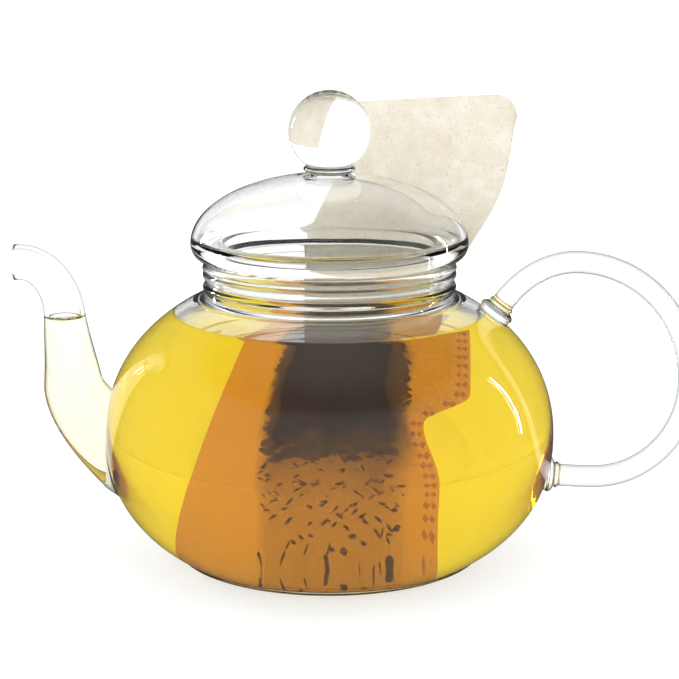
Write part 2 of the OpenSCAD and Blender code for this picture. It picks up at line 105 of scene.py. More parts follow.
# The tea stands this high in the bulb and in the spout, and creeps a little up the glass
TEA_TOP = 78.7 * MM
CREEP = 1.3 * MM
# A liquid's skin lies this deep in the glass that holds it, so that no air shows between them
WETTED = 0.12 * MM
# The tea in the spout begins this deep in the bulb's wall
ROOT_SUNK = 0.3 * MM

# Round pieces have this many sides; points nearer than SAME_PLACE are one point
SEGMENTS = 160
SAME_PLACE = 1e-6


# --- Small helpers ---


class Wires:
    """Places nodes in a tree and joins them."""

    def __init__(self, tree):
        self.tree = tree

    def node(self, kind, inputs=None, **settings):
        made = self.tree.nodes.new(kind)
        for key, value in settings.items():
            setattr(made, key, value)
        for key, value in (inputs or {}).items():
            self.set(made.inputs[key], value)
        return made

    def set(self, socket, value):
        if isinstance(value, bpy.types.NodeSocket):
            self.tree.links.new(value, socket)
        else:
            socket.default_value = value

    def math(self, operation, a, b=0.0, c=0.0):
        made = self.node("ShaderNodeMath", operation=operation)
        for socket, value in zip(made.inputs, (a, b, c)):
            self.set(socket, value)
        return made.outputs[0]

    def place(self):
        return self.node("ShaderNodeTexCoord").outputs["Object"]

    def noise(self, place, scale, detail, roughness=0.5):
        inputs = {"Vector": place, "Scale": scale, "Detail": detail, "Roughness": roughness}
        return self.node("ShaderNodeTexNoise", inputs).outputs

    def blend(self, share, first, second):
        """Two shaders, the second one by the share that is given."""
        return self.node("ShaderNodeMixShader", {0: share, 1: first, 2: second}).outputs[0]

    def tint(self, share, first, second):
        """Two colours, the second one by the share that is given."""
        inputs = {"Fac": share, "Color1": first, "Color2": second}
        return self.node("ShaderNodeMixRGB", inputs).outputs[0]

    def bump(self, height, strength, distance):
        inputs = {"Height": height, "Strength": strength, "Distance": distance}
        return self.node("ShaderNodeBump", inputs).outputs[0]


def new_mesh_object(name, points, faces=(), edges=()):
    mesh = bpy.data.meshes.new(name)
    mesh.from_pydata([tuple(p) for p in points], list(edges), list(faces))
    mesh.update()
    obj = bpy.data.objects.new(name, mesh)
    bpy.context.scene.collection.objects.link(obj)
    return obj


def set_material(obj, material):
    obj.data.materials.clear()
    obj.data.materials.append(material)
    for face in obj.data.polygons:
        face.material_index = 0


def shade_smooth(obj):
    for face in obj.data.polygons:
        face.use_smooth = True


def tidy_shell(obj):
    """Merges doubled points, closes seams, turns faces outwards and shades smooth."""
    work = bmesh.new()
    work.from_mesh(obj.data)
    bmesh.ops.remove_doubles(work, verts=work.verts, dist=SAME_PLACE)
    bmesh.ops.dissolve_degenerate(work, edges=work.edges, dist=SAME_PLACE / 2)
    bmesh.ops.recalc_face_normals(work, faces=work.faces)
    if work.calc_volume(signed=True) < 0:
        bmesh.ops.reverse_faces(work, faces=work.faces)
    work.to_mesh(obj.data)
    work.free()
    shade_smooth(obj)
    return obj


def grid_faces(rows, cols, wrap_rows=False, wrap_cols=False, first=0, flipped=False):
    """Faces of a grid of points that is stored row by row, from the point numbered first."""
    faces = []
    for i in range(rows if wrap_rows else rows - 1):
        for j in range(cols if wrap_cols else cols - 1):
            a, b = first + i * cols, first + (i + 1) % rows * cols
            n = (j + 1) % cols
            face = (a + j, b + j, b + n, a + n)
            faces.append(face[::-1] if flipped else face)
    return faces


def eased(t):
    t = min(max(t, 0.0), 1.0)
    return t * t * (3 - 2 * t)


def mixed(a, b, t):
    return a + (b - a) * t


def arc(cx, cz, rx, rz, start, end, steps):
    """Points on an ellipse from one angle to another, in degrees."""
    angles = [math.radians(mixed(start, end, i / steps)) for i in range(steps + 1)]
    return [(cx + rx * math.cos(a), cz + rz * math.sin(a)) for a in angles]


# --- Geometry Nodes trees ---


FLOAT, INT = "NodeSocketFloat", "NodeSocketInt"
OBJECT, MATERIAL, GEOMETRY = "NodeSocketObject", "NodeSocketMaterial", "NodeSocketGeometry"


def start_tree(name, sockets):
    """A geometry tree with named inputs: [(name, socket type), ...]."""
    tree = bpy.data.node_groups.new(name, "GeometryNodeTree")
    tree.interface.new_socket(name="Geometry", in_out="OUTPUT", socket_type=GEOMETRY)
    for label, kind in [("Geometry", GEOMETRY)] + sockets:
        tree.interface.new_socket(name=label, in_out="INPUT", socket_type=kind)
    return tree, Wires(tree), tree.nodes.new("NodeGroupInput").outputs


def end_tree(wires, geometry, material):
    """Ends a tree in real, smooth geometry with its material."""
    real = wires.node("GeometryNodeRealizeInstances", {0: geometry})
    smooth = wires.node("GeometryNodeSetShadeSmooth", {0: real.outputs[0]})
    dressed = wires.node(
        "GeometryNodeSetMaterial", {"Geometry": smooth.outputs[0], "Material": material}
    )
    out = wires.tree.nodes.new("NodeGroupOutput")
    wires.tree.links.new(dressed.outputs[0], out.inputs[0])


def run_tree(obj, tree, **values):
    """Puts the tree on the object, keeps what it makes as a plain mesh and takes the tree off."""
    modifier = obj.modifiers.new(tree.name, "NODES")
    modifier.node_group = tree
    for item in tree.interface.items_tree:
        key = item.name.lower().replace(" ", "_")
        if item.item_type == "SOCKET" and item.in_out == "INPUT" and key in values:
            modifier[item.identifier] = values[key]
    graph = bpy.context.evaluated_depsgraph_get()
    mesh = bpy.data.meshes.new_from_object(obj.evaluated_get(graph))
    obj.modifiers.remove(modifier)
    obj.data = mesh
    return obj


def turning_tree():
    """Turns an outline of [radius, 0, height] points once round the upright axis."""
    tree, wires, given = start_tree("Turned glass", [("Segments", INT), ("Material", MATERIAL)])
    count = wires.node("GeometryNodeAttributeDomainSize", {0: given["Geometry"]})
    columns = wires.math("ADD", given["Segments"], 1.0)
    grid = wires.node(
        "GeometryNodeMeshGrid",
        {"Vertices X": count.outputs["Point Count"], "Vertices Y": columns},
    )
    index = wires.node("GeometryNodeInputIndex").outputs[0]
    row = wires.math("FLOOR", wires.math("DIVIDE", wires.math("ADD", index, 0.25), columns))
    column = wires.math("SUBTRACT", index, wires.math("MULTIPLY", row, columns))
    turn = wires.math("MULTIPLY", wires.math("DIVIDE", column, given["Segments"]), 2 * math.pi)
    place = wires.node("GeometryNodeInputPosition").outputs[0]
    outline = wires.node(
        "GeometryNodeSampleIndex",
        {"Geometry": given["Geometry"], "Index": row},
        data_type="FLOAT_VECTOR",
    )
    wires.set(outline.inputs["Value"], place)
    split = wires.node("ShaderNodeSeparateXYZ", {0: outline.outputs[0]})
    radius = split.outputs["X"]
    point = wires.node(
        "ShaderNodeCombineXYZ",
        {
            "X": wires.math("MULTIPLY", radius, wires.math("COSINE", turn)),
            "Y": wires.math("MULTIPLY", radius, wires.math("SINE", turn)),
            "Z": split.outputs["Z"],
        },
    )
    moved = wires.node(
        "GeometryNodeSetPosition",
        {"Geometry": grid.outputs["Mesh"], "Position": point.outputs[0]},
    )
    merged = wires.node(
        "GeometryNodeMergeByDistance", {"Geometry": moved.outputs[0], "Distance": SAME_PLACE}
    )
    end_tree(wires, merged.outputs[0], given["Material"])
    return tree


def rod_tree():
    """Draws glass into a rod along a path; the path's own "thick" says how thick it is."""
    tree, wires, given = start_tree("Drawn rod", [("Sides", INT), ("Material", MATERIAL)])
    curve = wires.node("GeometryNodeMeshToCurve", {0: given["Geometry"]})
    thick = wires.node("GeometryNodeInputNamedAttribute", {"Name": "thick"}, data_type="FLOAT")
    sized = wires.node(
        "GeometryNodeSetCurveRadius",
        {"Curve": curve.outputs[0], "Radius": thick.outputs["Attribute"]},
    )
    ring = wires.node(
        "GeometryNodeCurvePrimitiveCircle", {"Resolution": given["Sides"], "Radius": 1.0}
    )
    rod = wires.node(
        "GeometryNodeCurveToMesh",
        {"Curve": sized.outputs[0], "Profile Curve": ring.outputs["Curve"], "Fill Caps": True},
    )
    if "Scale" in rod.inputs:
        wires.set(rod.inputs["Scale"], thick.outputs["Attribute"])
    end_tree(wires, rod.outputs[0], given["Material"])
    return tree


def scatter_tree(name, on_faces):
    """Copies a small shape over a surface, at random or in the middle of each of its faces."""
    tree, wires, given = start_tree(
        name,
        [
            ("Shape", OBJECT),
            ("Density", FLOAT),
            ("Least Size", FLOAT),
            ("Most Size", FLOAT),
            ("Wobble", FLOAT),
            ("Seed", INT),
            ("Material", MATERIAL),
        ],
    )
    if on_faces:
        spread = wires.node(
            "GeometryNodeDistributePointsOnFaces",
            {"Mesh": given["Geometry"], "Density": given["Density"], "Seed": given["Seed"]},
        )
        points, turn = spread.outputs["Points"], spread.outputs["Rotation"]
    else:
        normal = wires.node("GeometryNodeInputNormal").outputs[0]
        kept = wires.node(
            "GeometryNodeCaptureAttribute", {"Geometry": given["Geometry"]}, domain="FACE"
        )
        kept.capture_items.new("VECTOR", "facing")
        wires.set(kept.inputs[1], normal)
        spread = wires.node("GeometryNodeMeshToPoints", {"Mesh": kept.outputs[0]}, mode="FACES")
        points = spread.outputs[0]
        turn = wires.node(
            "FunctionNodeAlignRotationToVector", {"Vector": kept.outputs[1]}, axis="Z"
        ).outputs[0]
    wobble = wires.node(
        "ShaderNodeCombineXYZ",
        {"X": given["Wobble"], "Y": given["Wobble"], "Z": given["Wobble"]},
    ).outputs[0]
    back = wires.node(
        "ShaderNodeVectorMath", {0: wobble, 1: (-1.0, -1.0, -1.0)}, operation="MULTIPLY"
    )
    turns = wires.node(
        "FunctionNodeRandomValue",
        {"Min": back.outputs[0], "Max": wobble, "Seed": given["Seed"]},
        data_type="FLOAT_VECTOR",
    )
    euler = wires.node("FunctionNodeEulerToRotation", {0: turns.outputs["Value"]})
    turned = wires.node("FunctionNodeRotateRotation", {0: turn, 1: euler.outputs[0]})
    size = wires.node("FunctionNodeRandomValue", {"Seed": given["Seed"]}, data_type="FLOAT")
    wires.set(size.inputs[2], given["Least Size"])
    wires.set(size.inputs[3], given["Most Size"])
    shape = wires.node("GeometryNodeObjectInfo", {"Object": given["Shape"]})
    copies = wires.node(
        "GeometryNodeInstanceOnPoints",
        {
            "Points": points,
            "Instance": shape.outputs["Geometry"],
            "Rotation": turned.outputs[0],
            "Scale": size.outputs[1],
        },
    )
    end_tree(wires, copies.outputs[0], given["Material"])
    return tree


TURNING = turning_tree()
ROD = rod_tree()
SCATTER = scatter_tree("Scattered copies", on_faces=True)
PATTERN = scatter_tree("Pressed pattern", on_faces=False)


def upright_line(name, line):
    """A row of edges through (x, z) points in the upright plane through spout and handle."""
    points = [(x, 0.0, z) for x, z in line]
    return new_mesh_object(name, points, edges=[(i, i + 1) for i in range(len(points) - 1)])


def turned(name, outline, material):
    """A piece turned from an outline of (radius, height) points."""
    obj = upright_line(name, outline)
    run_tree(obj, TURNING, segments=SEGMENTS, material=material)
    return tidy_shell(obj)


# --- Materials ---


def start_group(name, inputs, outputs):
    """A shader node group with named inputs [(name, type, value)] and outputs [(name, type)]."""
    group = bpy.data.node_groups.new(name, "ShaderNodeTree")
    for label, kind, value in inputs:
        socket = group.interface.new_socket(name=label, in_out="INPUT", socket_type=kind)
        socket.default_value = value
    for label, kind in outputs:
        group.interface.new_socket(name=label, in_out="OUTPUT", socket_type=kind)
    given = group.nodes.new("NodeGroupInput").outputs
    return group, Wires(group), given, group.nodes.new("NodeGroupOutput").inputs


def ramp(wires, value, stops):
    """A colour ramp through stops of (place, grey or colour)."""
    made = wires.node("ShaderNodeValToRGB", {0: value})
    elements = made.color_ramp.elements
    while len(elements) < len(stops):
        elements.new(0.5)
    for element, (place, colour) in zip(elements, stops):
        element.position = place
        grey = not hasattr(colour, "__len__")
        element.color = (colour, colour, colour, 1) if grey else (*colour, 1)
    return made.outputs["Color"]


def blown_group():
    """Faint waves and smears of hand-blown glass: a height, and a little roughness."""
    group, wires, given, out = start_group(
        "Blown glass",
        [("Scale", FLOAT, 60.0), ("Smears", FLOAT, 0.03)],
        [("Height", FLOAT), ("Roughness", FLOAT)],
    )
    place = wires.place()
    waves = wires.noise(place, given["Scale"], 2.0)[0]
    smears = wires.noise(place, 35.0, 6.0)[0]
    patches = ramp(wires, smears, [(0.55, 0.0), (0.75, 1.0)])
    wires.set(out["Height"], waves)
    wires.set(out["Roughness"], wires.math("MULTIPLY", patches, given["Smears"]))
    return group


def fibre_group():
    """Long fibres and flecks of filter paper: a mottling, flecks and a height."""
    group, wires, given, out = start_group(
        "Filter paper",
        [("Mottle Scale", FLOAT, 160.0), ("Fibre Scale", FLOAT, 900.0)],
        [("Mottle", FLOAT), ("Flecks", FLOAT), ("Height", FLOAT)],
    )
    place = wires.place()
    bent = wires.tint(0.012, place, wires.noise(place, 220.0, 3.0)["Color"])
    mottle = wires.noise(place, given["Mottle Scale"], 8.0, 0.7)[0]
    fibres = wires.node(
        "ShaderNodeTexVoronoi",
        {"Vector": bent, "Scale": given["Fibre Scale"]},
        feature="DISTANCE_TO_EDGE",
    )
    strands = ramp(wires, fibres.outputs[0], [(0.0, 1.0), (0.12, 0.0)])
    specks = wires.noise(place, 1500.0, 3.0)[0]
    wires.set(out["Mottle"], mottle)
    wires.set(out["Flecks"], ramp(wires, specks, [(0.6, 0.0), (0.72, 1.0)]))
    height = wires.math("ADD", strands, wires.math("MULTIPLY", mottle, 1.5))
    wires.set(out["Height"], height)
    return group


BLOWN = blown_group()
FIBRES = fibre_group()


def start_material(name):
    material = bpy.data.materials.new(name)
    material.use_nodes = True
    material.node_tree.nodes.clear()
    wires = Wires(material.node_tree)
    return material, wires, wires.node("ShaderNodeOutputMaterial")


def placed_group(wires, group, **values):
    made = wires.node("ShaderNodeGroup", node_tree=group)
    for label, value in values.items():
        wires.set(made.inputs[label.replace("_", " ").title()], value)
    return made.outputs


GLASS_IOR = 1.47
TEA_IOR = 1.333


def see_through(wires, ior, mirrors):
    """Where a liquid wets the glass, neither of their skins mirrors anything."""
    return wires.node(
        "ShaderNodeBsdfPrincipled",
        {
            "Base Color": (1, 1, 1, 1),
            "Transmission Weight": 1.0,
            "IOR": ior,
            "Roughness": 0.0,
            "Specular Tint": (1, 1, 1, 1) if mirrors else (0, 0, 0, 1),
        },
    )


def glass(name, edges, waves, mirrors=True):
    """Clear glass with painted shade: its colour turns grey where it is seen edge on, in place of
    the dark surroundings that its edges would refract; edges gives the stops for that.
    """
    material, wires, out = start_material(name)
    shader = see_through(wires, GLASS_IOR, mirrors)
    facing = wires.node("ShaderNodeLayerWeight", {"Blend": 0.5}).outputs["Facing"]
    # Painted shade: the base colour greys towards where the glass is seen edge on
    wires.set(shader.inputs["Base Color"], ramp(wires, facing, edges))
    blown = placed_group(wires, BLOWN, scale=45.0, smears=0.02)
    wires.set(shader.inputs["Roughness"], blown["Roughness"])
    wires.set(shader.inputs["Normal"], wires.bump(blown["Height"], waves, 2 * MM))
    wires.set(out.inputs["Surface"], shader.outputs[0])
    return material


def liquid(name, absorbed):
    """Clear liquid that takes red, green and blue light away along the way through it."""
    material, wires, out = start_material(name)
    shader = see_through(wires, TEA_IOR, False)
    density = max(absorbed)
    volume = wires.node(
        "ShaderNodeVolumeAbsorption",
        {"Color": (*[1 - a / density for a in absorbed], 1), "Density": density},
    )
    wires.set(out.inputs["Surface"], shader.outputs[0])
    wires.set(out.inputs["Volume"], volume.outputs[0])
    return material


def paper(name, light, dark, fleck, through, wet=0.0):
    """Thin fibrous paper that lets some light through and, where it is wet, shows what lies
    behind it."""
    material, wires, out = start_material(name)
    fibres = placed_group(wires, FIBRES, mottle_scale=140.0, fibre_scale=700.0)
    spread = ramp(wires, fibres["Mottle"], [(0.36, dark), (0.64, light)])
    colour = wires.tint(wires.math("MULTIPLY", fibres["Flecks"], 0.55), spread, (*fleck, 1))
    if wet:
        dark_share = placed_group(wires, STAIN, cloud_scale=45.0)["Share"]
        colour = wires.tint(dark_share, colour, (*LEAF_SHADE, 1))
    normal = wires.bump(fibres["Height"], 0.12 if wet else 0.3, 0.2 * MM)
    shader = wires.node(
        "ShaderNodeBsdfPrincipled",
        {
            "Base Color": colour,
            "Roughness": 0.9,
            "Specular IOR Level": 0.05 if wet else 0.2,
            "Normal": normal,
        },
    )
    passing = wires.node("ShaderNodeBsdfTranslucent", {"Color": colour, "Normal": normal})
    sheet = wires.blend(through, shader.outputs[0], passing.outputs[0])
    if wet:
        soaked = wires.node("ShaderNodeBsdfTransparent", {"Color": (*SOAKED, 1)})
        clear = wires.math("MULTIPLY_ADD", dark_share, -wet, wet)
        sheet = wires.blend(clear, sheet, soaked.outputs[0])
    wires.set(out.inputs["Surface"], sheet)
    return material


# The leaves lie right of a line that leans over above LEAF_BEND times LEAF_RISE
LEAF_LEFT = -17 * MM
LEAF_SLANT = 12 * MM
LEAF_RISE = 44 * MM
LEAF_BEND = 0.64
LEAF_CURVE = 1.2
LEAF_SHADE = (0.055, 0.022, 0.002)
# What a soaked sheet lets through of what lies behind it
SOAKED = (0.97, 0.72, 0.40)


def stain_group():
    """How much the leaves behind wet paper darken it: right of their line, and most of all in
    the upper part of the pouch."""
    group, wires, given, out = start_group(
        "Leaf stain", [("Cloud Scale", FLOAT, 40.0)], [("Share", FLOAT)]
    )
    place = wires.place()
    cloud = wires.noise(place, given["Cloud Scale"], 5.0)[0]
    split = wires.node("ShaderNodeSeparateXYZ", {0: place})
    x, z = split.outputs["X"], split.outputs["Z"]
    shake = wires.math("MULTIPLY", wires.math("SUBTRACT", cloud, 0.5), 0.022)
    rise = wires.math("MAXIMUM", wires.math("MULTIPLY_ADD", z, 1 / LEAF_RISE, -LEAF_BEND), 0.0)
    slant = wires.math("MULTIPLY", wires.math("POWER", rise, LEAF_CURVE), LEAF_SLANT)
    line = wires.math("ADD", slant, LEAF_LEFT)
    past = wires.math("ADD", wires.math("SUBTRACT", x, line), wires.math("MULTIPLY", shake, 0.35))
    right = ramp(wires, wires.math("MULTIPLY_ADD", past, 200.0, 0.5), [(0.2, 0.0), (0.9, 1.0)])
    height = wires.math("ADD", z, shake)
    upper = ramp(
        wires,
        wires.math("DIVIDE", height, TEA_TOP),
        [(0.05, 0.12), (0.30, 0.30), (0.50, 0.92), (0.98, 0.97)],
    )
    corner = wires.math("SUBTRACT", x, wires.math("MULTIPLY_ADD", z, 0.1, 0.013))
    clear_corner = ramp(
        wires,
        wires.math("MULTIPLY_ADD", wires.math("ADD", corner, shake), 100.0, 0.5),
        [(0.35, 1.0), (0.75, 0.15)],
    )
    amount = wires.math("MULTIPLY", wires.math("MULTIPLY", right, upper), clear_corner)
    wires.set(out["Share"], amount)
    return group


STAIN = stain_group()

# Colours of glass by how far it is seen edge on: painted shade that greys the edges in place of
# the dark surroundings they would refract
CLEAR = (0.992, 0.996, 0.994)
# The grey that the glass edges are painted with: painted shade, not a tint of the glass
EDGE_SHADE = (0.30, 0.32, 0.32)
THIN_EDGES = [(0.0, CLEAR), (0.72, (0.96, 0.965, 0.96)), (0.90, (0.66, 0.68, 0.675)), (1.0, EDGE_SHADE)]
LID_EDGES = [(0.0, CLEAR), (0.86, (0.98, 0.985, 0.98)), (0.95, (0.70, 0.72, 0.72)), (1.0, EDGE_SHADE)]
SPOUT_EDGES = [(0.0, CLEAR), (0.5, (0.95, 0.955, 0.95)), (0.75, (0.6, 0.62, 0.62)), (1.0, EDGE_SHADE)]
ROD_EDGES = [(0.0, CLEAR), (0.12, (0.92, 0.93, 0.93)), (0.30, (0.74, 0.76, 0.76)), (0.70, EDGE_SHADE)]
clear_glass = glass("clear_glass", THIN_EDGES, 0.03)
wetted_glass = glass("wetted_glass", THIN_EDGES, 0.03, mirrors=False)
spout_glass = glass("spout_glass", SPOUT_EDGES, 0.03)
lid_glass = glass("lid_glass", LID_EDGES, 0.05)
rod_glass = glass("rod_glass", ROD_EDGES, 0.05)
tea_liquid = liquid("tea", (1.8, 4.8, 56.0))
pale_tea = liquid("pale_tea", (0.3, 0.8, 14.0))
dry_paper = paper(
    "dry_paper", (1.0, 0.97, 0.90), (0.92, 0.88, 0.79), (0.50, 0.43, 0.33), 0.5
)
wet_paper = paper(
    "wet_paper", (1.0, 0.74, 0.22), (0.94, 0.58, 0.12), (0.66, 0.33, 0.06), 0.6, wet=0.8
)
pressed_paper = paper(
    "pressed_paper", (0.90, 0.62, 0.18), (0.80, 0.48, 0.10), (0.60, 0.30, 0.06), 0.5, wet=0.5
)


def leaf_material():
    """Dark wet leaf with faint veins."""
    material, wires, out = start_material("tea_leaves")
    veins = wires.noise(wires.place(), 700.0, 4.0)[0]
    colour = ramp(wires, veins, [(0.35, (0.018, 0.008, 0.003)), (0.7, (0.10, 0.045, 0.015))])
    shader = wires.node(
        "ShaderNodeBsdfPrincipled",
        {
            "Base Color": colour,
            "Roughness": 0.75,
            "Specular IOR Level": 0.1,
            "Normal": wires.bump(veins, 0.5, 0.3 * MM),
        },
    )
    wires.set(out.inputs["Surface"], shader.outputs[0])
    return material


leaves_brown = leaf_material()


# --- The pot's glass ---


def round_share(x, full):
    return max(0.0, 1 - abs(x) ** full) ** (1 / full)


LOW_H = BELLY_Z / round_share(FOOT_R / BULB_R, LOW_FULL)
TOP_H = (SHOULDER_Z - BELLY_Z) / round_share(NECK_ROOT_R / BULB_R, TOP_FULL)


def bulb_radius(z, inset=0.0):
    """Radius of the bulb at height z, with the skin moved inwards by inset."""
    if z < BELLY_Z:
        return (BULB_R - inset) * round_share((BELLY_Z - z) / (LOW_H - inset), LOW_FULL)
    return (BULB_R - inset) * round_share((z - BELLY_Z) / (TOP_H - inset), TOP_FULL)


def shoulder_height(r):
    return BELLY_Z + TOP_H * round_share(r / BULB_R, TOP_FULL)


def bulb_line(z0, z1, inset, steps):
    """Outline of the bulb from one height up to another, closer where it turns fast."""
    points = []
    for i in range(2 * steps + 1):
        a = math.radians(mixed(-90, 90, i / (2 * steps)))
        reach = BELLY_Z - z0 if a < 0 else z1 - BELLY_Z
        z = BELLY_Z + reach * math.sin(a)
        points.append((bulb_radius(z, inset), z))
    return points


def make_pot():
    """Bulb, neck and rim are one piece of glass: its outer skin, over the rim, its inner skin.
    Below the tea's skin the inside is wetted."""
    foot_round = 3 * MM
    outer = bulb_line(foot_round, SHOULDER_Z, 0.0, 44)
    foot_out = outer[0][0]
    foot = [(0.0, 0.6 * MM), (FOOT_R * 0.55, 0.45 * MM), (FOOT_R - 8 * MM, 0.1 * MM)]
    foot += arc(FOOT_R - 4 * MM, foot_round, foot_out - FOOT_R + 4 * MM, foot_round, -90, 0, 10)
    fillet = arc(NECK_ROOT_R, SHOULDER_Z + FILLET_R, FILLET_R, FILLET_R, 270, 180, 10)
    rings = []
    for z in (SHOULDER_Z + FILLET_R, NECK_TOP - RING_DROP):
        rings += arc(NECK_R - 0.1 * MM, z, RING_R, RING_R * 1.15, -80, 80, 12)
    rim = arc(RIM_MID, NECK_TOP, RIM_R, RIM_TOP - NECK_TOP, 0, 180, 20)
    throat = [
        (NECK_IN, NECK_TOP - 1 * MM),
        (NECK_IN, NECK_TOP - 4 * MM),
        (NECK_IN, SHOULDER_Z + 3.5 * MM),
    ]
    mouth_r = bulb_radius(SHOULDER_Z, WALL)
    throat += arc(
        mouth_r + 1.4 * MM, SHOULDER_Z + 1.2 * MM, mouth_r + 1.4 * MM - NECK_IN, 1.8 * MM,
        180, 235, 6,
    )
    inner = [p for p in reversed(bulb_line(FLOOR_T, SHOULDER_Z, WALL, 44)) if p[1] < 84.2 * MM]
    floor = [(FOOT_R * 0.5, FLOOR_T + 0.1 * MM), (0.0, FLOOR_T + 0.25 * MM)]
    outline = foot + outer[1:] + fillet[1:] + rings + rim + throat + inner + floor
    pot = turned("pot_glass", outline, clear_glass)
    pot.data.materials.append(wetted_glass)
    for face in pot.data.polygons:
        x, y, z = face.center
        if z < TEA_TOP and math.hypot(x, y) < bulb_radius(z, WALL / 2) and z > FLOOR_T / 2:
            face.material_index = 1
    return pot


def make_lid():
    """Dome, edge, skirt, stem and ball are one piece of glass."""
    ball_low = -58
    outline = arc(0.0, KNOB_MID, KNOB_R, KNOB_R, 90, ball_low, 40)
    disc_z = STEM_TOP - 1.6 * MM
    outline += arc(STEM_R - 0.9 * MM, disc_z, 0.9 * MM, 0.9 * MM, 80, -70, 8)
    narrow_r = STEM_R - 2.3 * MM
    outline += [
        (STEM_R - 1.5 * MM, disc_z - 1.4 * MM),
        (narrow_r, disc_z - 2.2 * MM),
        (narrow_r + 0.2 * MM, DOME_TOP + 0.15 * MM),
        (narrow_r + 1.6 * MM, DOME_TOP - 0.45 * MM),
    ]
    dome_h = DOME_TOP - DOME_BASE
    outer = arc(0.0, DOME_BASE, LID_R, dome_h, 90, 0, 48)
    outline += [p for p in outer if p[0] > narrow_r + 3 * MM]
    outline += arc(
        EDGE_FOOT_R, DOME_BASE, LID_R - EDGE_FOOT_R, DOME_BASE - LID_SEAT, 0, -90, 12
    )[1:]
    skirt_in = SKIRT_R - SKIRT_WALL
    skirt_mid = (SKIRT_R + skirt_in) / 2
    half = SKIRT_WALL / 2
    outline += [(SKIRT_R + 1.6 * MM, LID_SEAT)]
    outline += arc(SKIRT_R + 1.2 * MM, LID_SEAT - 1.2 * MM, 1.2 * MM, 1.2 * MM, 90, 180, 5)
    outline += arc(skirt_mid, SKIRT_LOW + half, half, half, 0, -180, 12)
    outline += [(skirt_in, SKIRT_LOW + 5 * MM), (skirt_in, DOME_BASE - 1.5 * MM)]
    outline += arc(skirt_in + 1.6 * MM, DOME_BASE - 1.4 * MM, 1.6 * MM, 1.8 * MM, 180, 80, 8)
    inner = arc(0.0, DOME_BASE, LID_R - DOME_WALL, dome_h - DOME_WALL, 4, 90, 48)
    outline += [(SKIRT_R + 2.6 * MM, DOME_BASE + 0.2 * MM)]
    outline += inner
    outline[0] = (0.0, outline[0][1])
    outline[-1] = (0.0, outline[-1][1])
    return turned("lid_glass", outline, lid_glass)


def unit(v):
    return v / np.linalg.norm(v)


def cubic(guides, t):
    """Point of a smooth curve between the first and last of its four guide points."""
    p = [np.array(g) for g in guides]
    left = 1 - t
    return left**3 * p[0] + 3 * t * left**2 * p[1] + 3 * t * t * left * p[2] + t**3 * p[3]


# The spout's middle line, as (x, z), and its radius
SPOUT_ROOT_R = 14.2 * MM
SPOUT_END_R = 5.7 * MM
SPOUT_WALL = 1.5 * MM
SPOUT_FLARE = 2.1
SPOUT_START = np.array([-bulb_radius(39 * MM) + 8 * MM, 34 * MM])
SPOUT_BEND = np.array([-BULB_R - 10.6 * MM, 58 * MM])
SPOUT_RISE = np.array([-BULB_R - 12.8 * MM, SPOUT_END_Z - 17 * MM])
SPOUT_END = np.array([SPOUT_END_X, SPOUT_END_Z])
SPOUT_TURNED = SPOUT_END + (1 * MM, 0)
START_PULL = np.array([-7, 5]) * MM
SPOUT_CURVES = [
    [SPOUT_START, SPOUT_START + START_PULL, SPOUT_BEND - np.array([-0.6, 9]) * MM, SPOUT_BEND],
    [
        SPOUT_BEND, SPOUT_BEND + np.array([-0.6, 8]) * MM,
        SPOUT_RISE - np.array([-0.4, 7]) * MM, SPOUT_RISE,
    ],
    [SPOUT_RISE, SPOUT_RISE + np.array([-0.6, 9]) * MM, SPOUT_TURNED + (8 * MM, 0), SPOUT_TURNED],
]
SPOUT_STEPS = 3 + 1 / 9
SPOUT_FREE = 1 + 1 / 9


def spout_spine(u):
    """Point of the middle line; each of its three curves is one long, and a level end follows."""
    if u < 0:
        return SPOUT_START + 3 * u * START_PULL
    if u < 3:
        return cubic(SPOUT_CURVES[int(u)], u - int(u))
    return mixed(SPOUT_TURNED, SPOUT_END, (u - 3) / (SPOUT_STEPS - 3))


def spout_radius(u):
    left = min(max(1 - u / SPOUT_STEPS, 0.0), 1.0)
    return mixed(SPOUT_END_R, SPOUT_ROOT_R, left**SPOUT_FLARE)


def spout_point(u, a, inset):
    p = spout_spine(u)
    d = unit(spout_spine(min(SPOUT_STEPS, u + 0.055)) - spout_spine(u - 0.055))
    r = spout_radius(u) - inset
    return Vector(
        (p[0] + d[1] * r * math.cos(a), r * math.sin(a), p[1] - d[0] * r * math.cos(a))
    )


def halved(is_past, start, end):
    """The place between start and end where is_past turns true."""
    for _ in range(24):
        middle = (start + end) / 2
        if is_past(middle):
            end = middle
        else:
            start = middle
    return (start + end) / 2


def spout_root(a, inset, sunk):
    """Where the spout's side at angle a leaves the bulb, sunk a little into its wall."""

    def is_out(u):
        p = spout_point(u, a, inset)
        return math.hypot(p.x, p.y) > bulb_radius(p.z, sunk)

    return halved(is_out, -0.66, SPOUT_FREE)


SPOUT_SIDES = 72
SPOUT_RINGS = 110
ANGLES = [2 * math.pi * k / SPOUT_SIDES for k in range(SPOUT_SIDES)]


def spout_rings(inset, sunk, end_at=None):
    """Rings of points from the bulb's skin to the spout's end, or up to a height."""
    roots = [spout_root(a, inset, sunk) for a in ANGLES]
    ends = [SPOUT_STEPS] * SPOUT_SIDES
    if end_at is not None:
        ends = [halved(lambda u: spout_point(u, a, inset).z > end_at, 1.0, 2.6) for a in ANGLES]
    shares = [i / SPOUT_RINGS for i in range(SPOUT_RINGS + 1)]
    sides = list(zip(ANGLES, roots, ends))
    return [[spout_point(mixed(r, e, t), a, inset) for a, r, e in sides] for t in shares]


